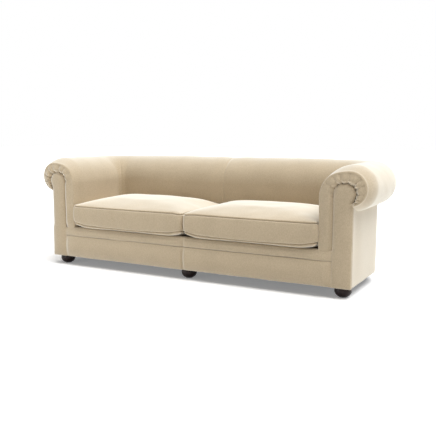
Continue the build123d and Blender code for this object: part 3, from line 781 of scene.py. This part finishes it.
def cushion_mesh(name):
    """The right cushion before it is filled: crowned top, straight boxing and rounded belly."""
    size = sizes()
    low = np.array([cushion_low.x + CUSHION_CLEAR, cushion_low.y + FRONT_ROOM])
    high = np.array([cushion_high.x - CUSHION_CLEAR, cushion_high.y - CUSHION_CLEAR])
    spans = high - low
    xs = low[0] + close_to_ends(spans[0], CUSHION_ENDS, CUSHION_PACE)
    ys = low[1] + close_to_ends(spans[1], CUSHION_ENDS, CUSHION_PACE)
    boxing = size.high_seam - size.low_seam
    zs = cushion_low.z + size.low_seam + close_to_ends(boxing, CUSHION_ENDS[:-1], BOXING_PACE)
    keys, quads = cushion_cube((len(xs) - 1, len(ys) - 1, len(zs) - 1))
    x, y, z = xs[keys[:, 0]], ys[keys[:, 1]], zs[keys[:, 2]]
    plan = cushion_plan(x, y, low, high, size.cushion_corner)
    to_sides = np.stack([x - low[0], high[0] - x, y - low[1], high[1] - y])
    inside = to_sides.min(axis=0)
    top = keys[:, 2] == len(zs) - 1
    bottom = keys[:, 2] == 0

    def ahead(places, run):
        return smooth_step((low[1] + run - places) / run)

    z = np.where(top, z + cushion_crown(to_sides), z)
    z = np.where(bottom, z - (size.low_seam - BELLY_CLEAR) * arch(inside / size.cushion_belly), z)
    up = (z - zs[0]) / boxing
    down = np.clip(1 - up, 0, 1)
    swell = np.where(top | bottom, 0, np.clip(1 - (2 * up - 1) ** 2, 0, 1))
    plan[:, 1] -= (FRONT_ROOM - FRONT_KEEP) * swell * ahead(plan[:, 1], BULGE_RUN)
    level = 1 - ((plan[:, 0] - low[0]) / spans[0] * 2 - 1) ** 2
    hang = size.front_sag * level * ahead(plan[:, 1], SAG_RUN)
    z = np.maximum(z - hang * down, cushion_low.z + BELLY_CLEAR)
    ends = smooth_step(1 - to_sides[:2].min(axis=0) / LIFT_RUN[1])
    z += (size.front_lift + size.corner_lift * ends) * ahead(y, LIFT_RUN[0]) * down
    middle_end = smooth_step(1 - to_sides[0] / DIP_RUN[1]) * ahead(y, DIP_RUN[0])
    z -= size.corner_dip * middle_end * np.clip(up, 0, 1)
    lip = size.lip * np.sin(math.pi * np.clip(inside / LIP_RUN, 0, 1)) * smooth_step(to_sides[0] / LIP_RUN)
    plan[:, 1] -= np.where(bottom & (to_sides[2] < LIP_RUN + 0.001), lip, 0)
    piece = link_mesh(name, np.column_stack([plan, z]), quads)
    seam = (top | bottom) & (inside < 1e-6)
    piece.vertex_groups.new(name="seams").add(np.flatnonzero(seam).tolist(), 1.0, "REPLACE")
    return piece, seam


def read_points(mesh):
    """A mesh's vertices as an array."""
    points = np.zeros(len(mesh.vertices) * 3, np.float32)
    mesh.vertices.foreach_get("co", points)
    return points.reshape(-1, 3).astype(float)


def quad_sides(quads):
    """The sides of all quads, as pairs of vertices."""
    return np.vstack([quads[:, [k, (k + 1) % 4]] for k in range(4)])


def calmed(move, quads):
    """A movement of the cloth without its smallest ripples."""
    sides = quad_sides(quads)
    count = np.bincount(sides[:, 0], minlength=len(move))[:, None]
    for _ in range(CALM_ROUNDS):
        around = np.zeros_like(move)
        np.add.at(around, sides[:, 0], move[sides[:, 1]])
        move = (move + around / count) / 2
    return move


def fill_cushion(piece, quads):
    """Blow up the cushion's cover as cloth, with its seams held, and keep the result within a cap."""
    start = read_points(piece.data)
    cloth = piece.modifiers.new("filling", "CLOTH")
    for label, value in CLOTH.items():
        setattr(cloth.settings, label, value)
    cloth.settings.effector_weights.gravity = 0
    cloth.collision_settings.use_collision = False
    cloth.collision_settings.use_self_collision = False
    cloth.point_cache.frame_start = 1
    cloth.point_cache.frame_end = CLOTH_FRAMES
    scene = bpy.context.scene
    for number in range(1, CLOTH_FRAMES + 1):
        scene.frame_set(number)
    graph = bpy.context.evaluated_depsgraph_get()
    end = read_points(piece.evaluated_get(graph).to_mesh())
    piece.evaluated_get(graph).to_mesh_clear()
    piece.modifiers.remove(cloth)
    scene.frame_set(1)
    move = calmed(end - start, quads)
    length = np.linalg.norm(move, axis=1, keepdims=True)
    return start + move * np.minimum(1, sizes().swell_cap / np.maximum(length, 1e-9))


def settle_cushion(points, seam, quads, inward, seed):
    """Keep the filled cushion in its place, draw its seams in and let its panels crease a little."""
    points = points.copy()
    sides = quad_sides(quads)
    sides = np.vstack([sides, sides[:, ::-1]])
    sewn, beside = sides[seam[sides[:, 0]] & ~seam[sides[:, 1]]].T
    points[beside] = points[sewn] + (points[beside] - points[sewn]) * SEAM_TIGHT
    points[seam] += inward[seam] * sizes().cushion_seam
    front = smooth_step((cushion_low.y + FRONT_FROM - points[:, 1]) / FRONT_RUN)
    ahead = ripple(points * FRONT_STRETCH, *FRONT_WAVES, seed) * front * np.where(seam, 0.0, 1.0)
    above = ripple(points, *TOP_WAVES, seed + 1) * (1 - front)
    points += np.column_stack([np.zeros(len(points)), ahead, above])
    lowest = (cushion_low.x, cushion_low.y - FRONT_ROOM, cushion_low.z)
    highest = (cushion_high.x, cushion_high.y, cushion_high.z + CROWN_ROOM)
    return np.clip(points, lowest, highest)


# Finishes

DULL = 0.15  # specular level of cloth and timber
PAINTED_SHEEN_BEND = 2.7  # how late the painted sheen shows as a surface turns edge on
made = {}


def once(name, maker, *values):
    """What a maker makes under a name, made once."""
    if name not in made:
        made[name] = maker(name, *values)
    return made[name]


def feed(tree, socket, value):
    """Link an input to a socket, or set it to a plain value."""
    if isinstance(value, NodeSocket):
        tree.links.new(value, socket)
    else:
        socket.default_value = value


def add_node(tree, kind, inputs, **settings):
    """A shader node with its settings, and with its inputs linked or set."""
    node = tree.nodes.new("ShaderNode" + kind)
    for label, value in settings.items():
        setattr(node, label, value)
    for label, value in inputs.items():
        feed(tree, node.inputs[label], value)
    return node


def add_noise(tree, vector, scale, detail, roughness=0.5):
    """A noise texture."""
    inputs = {"Vector": vector, "Scale": scale, "Detail": detail, "Roughness": roughness}
    return add_node(tree, "TexNoise", inputs).outputs["Fac"]


def add_math(tree, operation, first, second):
    """A math node on two sockets or numbers."""
    return add_node(tree, "Math", {0: first, 1: second}, operation=operation).outputs[0]


def add_range(tree, value, low, high, new_low, new_high):
    """A clamped map from one range to another."""
    inputs = {"Value": value, "From Min": low, "From Max": high, "To Min": new_low, "To Max": new_high}
    return add_node(tree, "MapRange", inputs).outputs["Result"]


def add_mix(tree, share, first, second):
    """A mix of two colours, each a socket or plain."""
    node = add_node(tree, "Mix", {}, data_type="RGBA")
    sockets = {socket.identifier: socket for socket in node.inputs}
    for label, value in (("Factor_Float", share), ("A_Color", first), ("B_Color", second)):
        feed(tree, sockets[label], value)
    return next(socket for socket in node.outputs if socket.identifier == "Result_Color")


def new_group(name, colours, scales):
    """An empty shader group for a surface, with its colours and scales as inputs, and its two end nodes."""
    tree = bpy.data.node_groups.new(name, "ShaderNodeTree")
    tree.interface.new_socket("Vector", in_out="INPUT", socket_type="NodeSocketVector")
    for kind, values in (("NodeSocketColor", colours), ("NodeSocketFloat", scales)):
        for label, value in values.items():
            tree.interface.new_socket(label, in_out="INPUT", socket_type=kind).default_value = value
    for label, kind in (("Color", "Color"), ("Height", "Float"), ("Roughness", "Float")):
        tree.interface.new_socket(label, in_out="OUTPUT", socket_type="NodeSocket" + kind)
    return tree, tree.nodes.new("NodeGroupInput").outputs, tree.nodes.new("NodeGroupOutput").inputs


def pile_group(name):
    """Brushed pile of velvet, felt and cloth: soft patches, streaks and fine fibres."""
    tree, given, result = new_group(
        name, {"Dark": (0.5, 0.5, 0.5, 1), "Light": (0.6, 0.6, 0.6, 1)},
        {"Patch Scale": 7.0, "Streak Scale": 45.0, "Fibre Scale": 900.0})
    vector = given["Vector"]
    lean = add_node(
        tree, "Mapping", {"Vector": vector, "Rotation": (0.3, 0.5, 0.6), "Scale": (1.0, 0.8, 0.7)})
    patches = add_noise(tree, vector, given["Patch Scale"], 3.0)
    streaks = add_noise(tree, lean.outputs["Vector"], given["Streak Scale"], 4.0, 0.6)
    fibres = add_noise(tree, vector, given["Fibre Scale"], 2.0)
    large = add_range(tree, patches, 0.35, 0.65, 0.0, 0.2)
    middle = add_range(tree, streaks, 0.36, 0.64, 0.0, 0.6)
    small = add_range(tree, fibres, 0.3, 0.7, 0.0, 0.15)
    share = add_math(tree, "ADD", add_math(tree, "ADD", large, middle), small)
    feed(tree, result["Color"], add_mix(tree, share, given["Dark"], given["Light"]))
    feed(tree, result["Height"], add_math(tree, "ADD", add_math(tree, "MULTIPLY", streaks, 0.5), fibres))
    feed(tree, result["Roughness"], add_range(tree, share, 0.0, 1.0, 0.95, 0.8))
    return tree


def grain_group(name):
    """Grain of timber and board: long rings along X, with fine pores."""
    tree, given, result = new_group(
        name, {"Dark": (0.3, 0.2, 0.1, 1), "Light": (0.5, 0.35, 0.2, 1)}, {"Grain Scale": 30.0})
    long = add_node(tree, "Mapping", {"Vector": given["Vector"], "Scale": (0.12, 1.0, 1.0)})
    along = long.outputs["Vector"]
    rings = add_noise(tree, along, given["Grain Scale"], 6.0, 0.65)
    pores = add_noise(tree, along, 600.0, 2.0)
    share = add_range(tree, rings, 0.3, 0.7, 0.0, 1.0)
    feed(tree, result["Color"], add_mix(tree, share, given["Dark"], given["Light"]))
    feed(tree, result["Height"], add_math(tree, "ADD", rings, add_math(tree, "MULTIPLY", pores, 0.4)))
    feed(tree, result["Roughness"], add_range(tree, rings, 0.3, 0.7, 0.1, 0.0))
    return tree


def new_material(name):
    """A material, its node tree and its shader."""
    material = bpy.data.materials.new(name)
    material.use_nodes = True
    return material, material.node_tree, material.node_tree.nodes["Principled BSDF"]


def own_space(tree):
    """Places in the object's own space."""
    return tree.nodes.new("ShaderNodeTexCoord").outputs["Object"]


def shaded(colour, share):
    """A colour times a share, with alpha."""
    return (*[part * share for part in colour], 1.0)


def finish_shader(tree, shader, values):
    """Link or set several inputs of a shader."""
    for label, value in values.items():
        feed(tree, shader.inputs[label], value)


def bump(tree, height, strength, distance):
    """The normal of fine relief."""
    inputs = {"Height": height, "Strength": strength, "Distance": distance}
    return add_node(tree, "Bump", inputs).outputs["Normal"]


def place_pile(tree, place, values):
    """The outputs of the brushed pile in a material, with its own values."""
    group = once("brushed_pile", pile_group)
    return add_node(tree, "Group", {"Vector": place, **values}, node_tree=group).outputs


def pile_material(name, dark, light, scales, relief, sheen, painted_sheen_colour=None):
    """A cloth with a pile: its colours, patch, streak and fibre scales, relief, sheen and a pale colour
    painted in as sheen where it is seen edge on.
    """
    material, tree, shader = new_material(name)
    labels = ("Dark", "Light", "Patch Scale", "Streak Scale", "Fibre Scale")
    pile = place_pile(tree, own_space(tree), dict(zip(labels, (dark, light, *scales))))
    colour = pile["Color"]
    if painted_sheen_colour:
        # Painted sheen: the pale colour is mixed in as the surface turns edge on to the view
        painted_sheen_mask = tree.nodes.new("ShaderNodeLayerWeight").outputs["Facing"]
        colour = add_mix(tree, add_math(tree, "POWER", painted_sheen_mask, PAINTED_SHEEN_BEND), colour, painted_sheen_colour)
    finish_shader(tree, shader, {
        "Base Color": colour, "Roughness": pile["Roughness"], "Normal": bump(tree, pile["Height"], *relief),
        "Sheen Weight": sheen[0], "Sheen Roughness": sheen[1], "Sheen Tint": (1, 1, 1, 1),
        "Specular IOR Level": DULL})
    return material


def ribbed_material(name, dark, light, patch, ribs, relief):
    """A woven tape: its colours and patch scale, its ribs' direction, scale and unevenness, its relief."""
    material, tree, shader = new_material(name)
    place = own_space(tree)
    direction, scale, uneven = ribs
    wave = add_node(
        tree, "TexWave", {"Vector": place, "Scale": scale, "Distortion": uneven}, bands_direction=direction)
    pile = place_pile(tree, place, {"Dark": dark, "Light": light, "Patch Scale": patch})
    finish_shader(tree, shader, {
        "Base Color": pile["Color"], "Roughness": pile["Roughness"],
        "Normal": bump(tree, wave.outputs["Fac"], *relief)})
    return material


def wood_material(name, colour, scale, roughness, coat):
    """A timber finish: its colour, grain scale, roughness and lacquer."""
    material, tree, shader = new_material(name)
    grain = add_node(tree, "Group", {
        "Vector": own_space(tree), "Dark": shaded(colour, 0.7), "Light": shaded(colour, 1.1),
        "Grain Scale": scale}, node_tree=once("wood_grain", grain_group)).outputs
    finish_shader(tree, shader, {
        "Base Color": grain["Color"], "Roughness": add_math(tree, "ADD", grain["Roughness"], roughness),
        "Normal": bump(tree, grain["Height"], 0.15, 0.0006), "Coat Weight": coat, "Coat Roughness": 0.08,
        "Specular IOR Level": DULL})
    return material


def speckled_material(name, colour, scale, roughness, metal):
    """A metal or moulded finish with fine specks in its colour and gloss."""
    material, tree, shader = new_material(name)
    pile = place_pile(tree, own_space(tree), {
        "Dark": shaded(colour, 0.85), "Light": shaded(colour, 1.05), "Patch Scale": scale,
        "Streak Scale": scale * 6, "Fibre Scale": scale * 30})
    finish_shader(tree, shader, {
        "Base Color": pile["Color"], "Metallic": metal,
        "Roughness": add_range(tree, pile["Roughness"], 0.8, 0.95, roughness, roughness + 0.12),
        "Normal": bump(tree, pile["Height"], 0.05, 0.0004)})
    return material


def finish(slot):
    """The material of a slot, made once."""
    colours = bpy.context.scene.sofa_colours
    dark, light = colours.nap_dark, colours.nap_light
    maker, *values = {
        # Cream velvet of the whole sofa, with a pale painted sheen where it is seen edge on
        "velvet": (pile_material, shaded(dark, 1), shaded(light, 1), (7.0, 190.0, 1100.0), (0.2, 0.0003),
                   (0.2, 0.35), shaded(colours.nap_painted_sheen, 1)),
        # Plain cloth of the deck under the cushions
        "platform_cloth": (pile_material, shaded(dark, 0.75), shaded(light, 0.8), (5.0, 120.0, 1500.0),
                           (0.3, 0.0006), (0.1, 0.5)),
        # Open-celled foam
        "foam": (pile_material, shaded(colours.foam, 0.85), shaded(colours.foam, 1), (12.0, 300.0, 900.0),
                 (0.5, 0.001), (0.0, 0.5)),
        # Grey felt over the webbing
        "felt": (pile_material, (0.16, 0.16, 0.15, 1), (0.30, 0.29, 0.27, 1), (20.0, 200.0, 700.0),
                 (0.5, 0.001), (0.2, 0.5)),
        # Black non-woven cloth under the base
        "dust_cloth": (pile_material, (0.008, 0.008, 0.008, 1), (0.022, 0.022, 0.022, 1),
                       (15.0, 150.0, 1200.0), (0.3, 0.0005), (0.05, 0.5)),
        # Black elastic straps, and zip tape with the ribs of its coil
        "webbing": (ribbed_material, (0.010, 0.010, 0.011, 1), (0.035, 0.035, 0.037, 1), 30.0,
                    ("DIAGONAL", 220.0, 0.4), (0.5, 0.001)),
        "zip_plastic": (ribbed_material, (0.36, 0.29, 0.20, 1), (0.42, 0.34, 0.235, 1), 60.0,
                        ("X", 180.0, 0.0), (0.6, 0.0008)),
        # Sawn hardwood, thin fibreboard behind the foam, and the dark gloss of the feet
        "timber": (wood_material, colours.timber, 30.0, 0.6, 0.0),
        "liner_board": (wood_material, (0.30, 0.18, 0.09), 120.0, 0.7, 0.0),
        "foot_lacquer": (wood_material, colours.lacquer, 60.0, 0.3, 0.12),
        # Zinc-plated steel, black moulded glides and the sliders' satin enamel
        "steel": (speckled_material, (0.55, 0.56, 0.58), 60.0, 0.3, 1.0),
        "glide_plastic": (speckled_material, (0.02, 0.02, 0.02), 40.0, 0.5, 0.0),
        "slider_metal": (speckled_material, (0.46, 0.38, 0.27), 80.0, 0.35, 1.0),
    }[slot]
    return once(slot, maker, *values)


# Studio

FLOOR_SIZE = 60
FLOOR_DROP = 0.0005
SENSOR = 36
KEY_SPREAD = math.radians(58)
KEY_TURN = (math.radians(17), 0, math.radians(88))
# Width, place and aim of the panels
SIDE_PANEL = (1.4, (2.6, 0.9, 0.20), (1.05, 0.2, 0.52))
FILL_PANEL = (1.2, (-1.6, -2.4, 0.25), (-0.4, -0.4, 0.15))


def seen_directly(tree):
    """1 for rays from the camera and from gloss or glass, 0 for the rest."""
    path = tree.nodes.new("ShaderNodeLightPath").outputs
    gloss = add_math(tree, "MAXIMUM", path["Is Glossy Ray"], path["Is Transmission Ray"])
    return add_math(tree, "MAXIMUM", path["Is Camera Ray"], gloss)


def floor_material(name):
    """Pale floor: white to the camera, with its shadow, and a softer bounce towards the sofa."""
    studio = bpy.context.scene.sofa_studio
    colour = bpy.context.scene.sofa_colours.floor
    material, tree, shader = new_material(name)
    seen = seen_directly(tree)
    finish_shader(tree, shader, {
        "Base Color": add_mix(tree, seen, shaded(colour, studio.bounce), shaded(colour, 1.0)),
        "Roughness": 1.0, "Specular IOR Level": 0.0, "Emission Color": seen,
        "Emission Strength": studio.floor_glow})
    return material


def set_sky():
    """A white background that lights the sofa from all round."""
    world = bpy.data.worlds.new("studio")
    bpy.context.scene.world = world
    world.use_nodes = True
    tree = world.node_tree
    strength = add_range(tree, seen_directly(tree), 0.0, 1.0, bpy.context.scene.sofa_studio.sky, 1.0)
    finish_shader(tree, tree.nodes["Background"], {"Color": (1, 1, 1, 1), "Strength": strength})


def add_holder(name, data, place, turn):
    """An object in the scene for a lamp or the camera."""
    holder = bpy.data.objects.new(name, data)
    holder.location = place
    holder.rotation_euler = turn
    bpy.context.scene.collection.objects.link(holder)
    return holder


def add_panel(name, power, width, place, aim):
    """A soft square lamp at a place, turned to face a point."""
    lamp = bpy.data.lights.new(name, "AREA")
    lamp.energy = power
    lamp.size = width
    way = Vector(aim) - Vector(place)
    add_holder(name, lamp, place, way.to_track_quat("-Z", "Y").to_euler())


# Steps

DECK_GRID = (90, 34)
DECK_LAP = 0.004
DECK_SINK = 0.0022
DUST_GRID = (80, 24)
DUST_TURN = math.radians(88)


def upholster(*rows):
    """Velvet pieces on both sides: rows of a name, a shape, its seed, a backing, solids and a fill, which is
    not used.
    """
    for number, (side, mirrored) in enumerate(SIDES):
        for name, shape, seed, backing, nodes, fill in rows:
            piece = grid_piece(name.format(side), shape(seed + SEED_STEP * number), mirrored)
            backing(piece)
            fit_piece(piece, "frame", [node.format(side) for node in nodes], "velvet")


class SOFA_OT_arms(Operator):
    """Cover the arms in velvet, with a gathered band round each front"""

    bl_idname = "sofa.arms"
    bl_label = "Arms"

    def execute(self, context):
        upholster(("arm_{}", arm_grid, 11, give_thickness, ("arm_cover_{}", "arm_foam_{}"), 0.9))
        return {"FINISHED"}


class SOFA_OT_back(Operator):
    """Cover the inside and the roll of the back in velvet, in two panels"""

    bl_idname = "sofa.back"
    bl_label = "Back"

    def execute(self, context):
        upholster(("back_{}", back_grid, 31, give_thickness, ("back_cover_{}", "back_foam_{}"), 0.9))
        return {"FINISHED"}


class SOFA_OT_facings(Operator):
    """Pad the fronts of the arms"""

    bl_idname = "sofa.facings"
    bl_label = "Arm facings"

    def execute(self, context):
        upholster(("facing_{}", facing_grid, 51, close_edges, ("facing_pad_{}",), 0.9))
        return {"FINISHED"}


class SOFA_OT_front(Operator):
    """Pad the strip and the border under the cushions"""

    bl_idname = "sofa.front"
    bl_label = "Front strip and border"

    def execute(self, context):
        upholster(
            ("strip_{}", strip_grid, 71, give_thickness, ("front_strip_{}",), 0.85),
            ("border_{}", border_grid, 91, give_thickness, ("front_border_{}",), 0.85))
        return {"FINISHED"}


class SOFA_OT_outside(Operator):
    """Close the outside arms and the outside back"""

    bl_idname = "sofa.outside"
    bl_label = "Outside panels"

    def execute(self, context):
        upholster(
            ("outside_arm_{}_panel", outside_arm_grid, 111, give_thickness, ("outside_arm_{}",), 0.8),
            ("outside_back_{}_panel", outside_back_grid, 131, give_thickness, ("outside_back_{}",), 0.8))
        return {"FINISHED"}


class SOFA_OT_deck(Operator):
    """Lay the platform cloth over the deck's foam and felt"""

    bl_idname = "sofa.deck"
    bl_label = "Seat deck"

    def execute(self, context):
        low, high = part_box("deck_cover")
        across = np.linspace(low.x, high.x, DECK_GRID[0])
        along = np.linspace(Y_FRAME + DECK_LAP, high.y, DECK_GRID[1])
        x, y = np.meshgrid(across, along, indexing="ij")
        points = facing(np.stack([x, y, np.full(x.shape, Z_DECK - DECK_SINK)], -1), (0, 0, 1))
        points = swollen(points, creases(points, DECK_CREASES, 151))
        piece = grid_piece("seat_deck", points, False)
        give_thickness(piece, high.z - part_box("deck_felt")[0].z - WADDING)
        fit_piece(piece, "frame", ["deck_cover", "deck_foam", "deck_felt"], "platform_cloth")
        return {"FINISHED"}


class SOFA_OT_dust_cloth(Operator):
    """Stretch the black cloth under the base"""

    bl_idname = "sofa.dust_cloth"
    bl_label = "Dust cloth"

    def execute(self, context):
        low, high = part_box("dust_cover")
        axis_x, axis_y = axis_of_corner()
        radius = high.x - axis_x
        columns, rows = DUST_GRID
        along = np.concatenate([
            np.linspace(low.y, axis_y, rows, endpoint=False),
            axis_y + radius * np.sin(np.linspace(0, DUST_TURN, rows))])
        half = axis_x + np.sqrt(np.maximum(radius ** 2 - np.maximum(along - axis_y, 0) ** 2, 0))
        x = half[None, :] * np.linspace(-1, 1, columns)[:, None]
        y = np.broadcast_to(along[None, :], x.shape)
        points = facing(np.stack([x, y, np.full(x.shape, (low.z + high.z) / 2)], -1), (0, 0, -1))
        points = swollen(points, creases(points, DUST_CREASES, 171))
        piece = grid_piece("dust_cloth", points, False)
        fit_piece(piece, "frame", ["dust_cover"], "dust_cloth")
        return {"FINISHED"}


class SOFA_OT_cushions(Operator):
    """Fill the two loose cushions as cloth and lay them on the deck"""

    bl_idname = "sofa.cushions"
    bl_label = "Seat cushions"

    def execute(self, context):
        raw, seam = cushion_mesh("cushion_raw")
        quads = np.array([list(face.vertices) for face in raw.data.polygons])
        filled = fill_cushion(raw, quads)
        raw.data.vertices.foreach_set("co", filled.astype(np.float32).ravel())
        raw.data.update()
        inward = -np.array([item.vector for item in raw.data.vertex_normals])
        bpy.data.objects.remove(raw)
        for number, (side, mirrored) in enumerate(SIDES):
            points = settle_cushion(filled, seam, quads, inward, 191 + SEED_STEP * number)
            if mirrored:
                points = points * (-1, 1, 1)
            piece = link_mesh("cushion_" + side, points, quads[:, ::-1] if mirrored else quads)
            smooth = piece.modifiers.new("smooth", "SUBSURF")
            smooth.levels = smooth.render_levels = 1
            nodes = ["cushion_cover_" + side, "cushion_core_" + side]
            fit_piece(piece, "seat_cushion_" + side, nodes, "velvet")
        return {"FINISHED"}


class SOFA_OT_bare_pieces(Operator):
    """Finish the feet, the zips and the frame, whose shapes are the frame's own"""

    bl_idname = "sofa.bare_pieces"
    bl_label = "Feet, zips and frame"

    def execute(self, context):
        for row in frame["record"]["subparts"]:
            node = frame["nodes"][row["node"]]
            if node.hide_render:
                continue
            node.data.materials.clear()
            node.data.materials.append(finish(row["material_slot"]))
        return {"FINISHED"}


class SOFA_OT_stage(Operator):
    """Set the pale floor, the soft lights and the camera"""

    bl_idname = "sofa.stage"
    bl_label = "Studio"

    def execute(self, context):
        studio = context.scene.sofa_studio
        context.scene.view_settings.view_transform = "Standard"
        bpy.ops.mesh.primitive_plane_add(size=FLOOR_SIZE, location=(0, 0, -FLOOR_DROP))
        floor = context.object
        floor.name = "studio_floor"
        floor.data.materials.append(floor_material("studio_floor"))
        set_sky()
        key = bpy.data.lights.new("key", "SUN")
        key.energy = studio.key
        key.angle = KEY_SPREAD
        add_holder("key", key, (0, 0, 0), KEY_TURN)
        add_panel("side_panel", studio.side, *SIDE_PANEL)
        add_panel("fill_panel", studio.fill, *FILL_PANEL)
        lens = bpy.data.cameras.new("camera")
        lens.sensor_width = SENSOR
        lens.lens = studio.camera_lens
        turn = (studio.camera_tilt, 0, studio.camera_turn)
        context.scene.camera = add_holder("camera", lens, studio.camera_place, turn)
        return {"FINISHED"}


class SOFA_PT_tools(Panel):
    """Steps that dress the sofa"""

    bl_idname = "SOFA_PT_tools"
    bl_label = "Scroll-arm sofa"
    bl_space_type = "VIEW_3D"
    bl_region_type = "UI"
    bl_category = "Sofa"

    def draw(self, context):
        for step in STEPS:
            self.layout.operator(step.bl_idname)
        for group in (context.scene.sofa_sizes, context.scene.sofa_colours, context.scene.sofa_studio):
            box = self.layout.box()
            for name in group.bl_rna.properties.keys():
                if name not in ("rna_type", "name"):
                    box.prop(group, name)


STEPS = (
    SOFA_OT_arms, SOFA_OT_back, SOFA_OT_facings, SOFA_OT_front, SOFA_OT_outside, SOFA_OT_deck,
    SOFA_OT_dust_cloth, SOFA_OT_cushions, SOFA_OT_bare_pieces, SOFA_OT_stage,
)
CLASSES = (SofaSizes, SofaColours, SofaStudio, *STEPS, SOFA_PT_tools)


def register():
    """Add the classes and their settings to Blender."""
    for item in CLASSES:
        bpy.utils.register_class(item)
    bpy.types.Scene.sofa_sizes = PointerProperty(type=SofaSizes)
    bpy.types.Scene.sofa_colours = PointerProperty(type=SofaColours)
    bpy.types.Scene.sofa_studio = PointerProperty(type=SofaStudio)


def unregister():
    """Take the classes and their settings out of Blender."""
    del bpy.types.Scene.sofa_sizes
    del bpy.types.Scene.sofa_colours
    del bpy.types.Scene.sofa_studio
    for item in reversed(CLASSES):
        bpy.utils.unregister_class(item)


def main():
    """Dress the sofa step by step."""
    register()
    for step in STEPS:
        group, name = step.bl_idname.split(".")
        getattr(getattr(bpy.ops, group), name)()


if __name__ == "__main__":
    main()
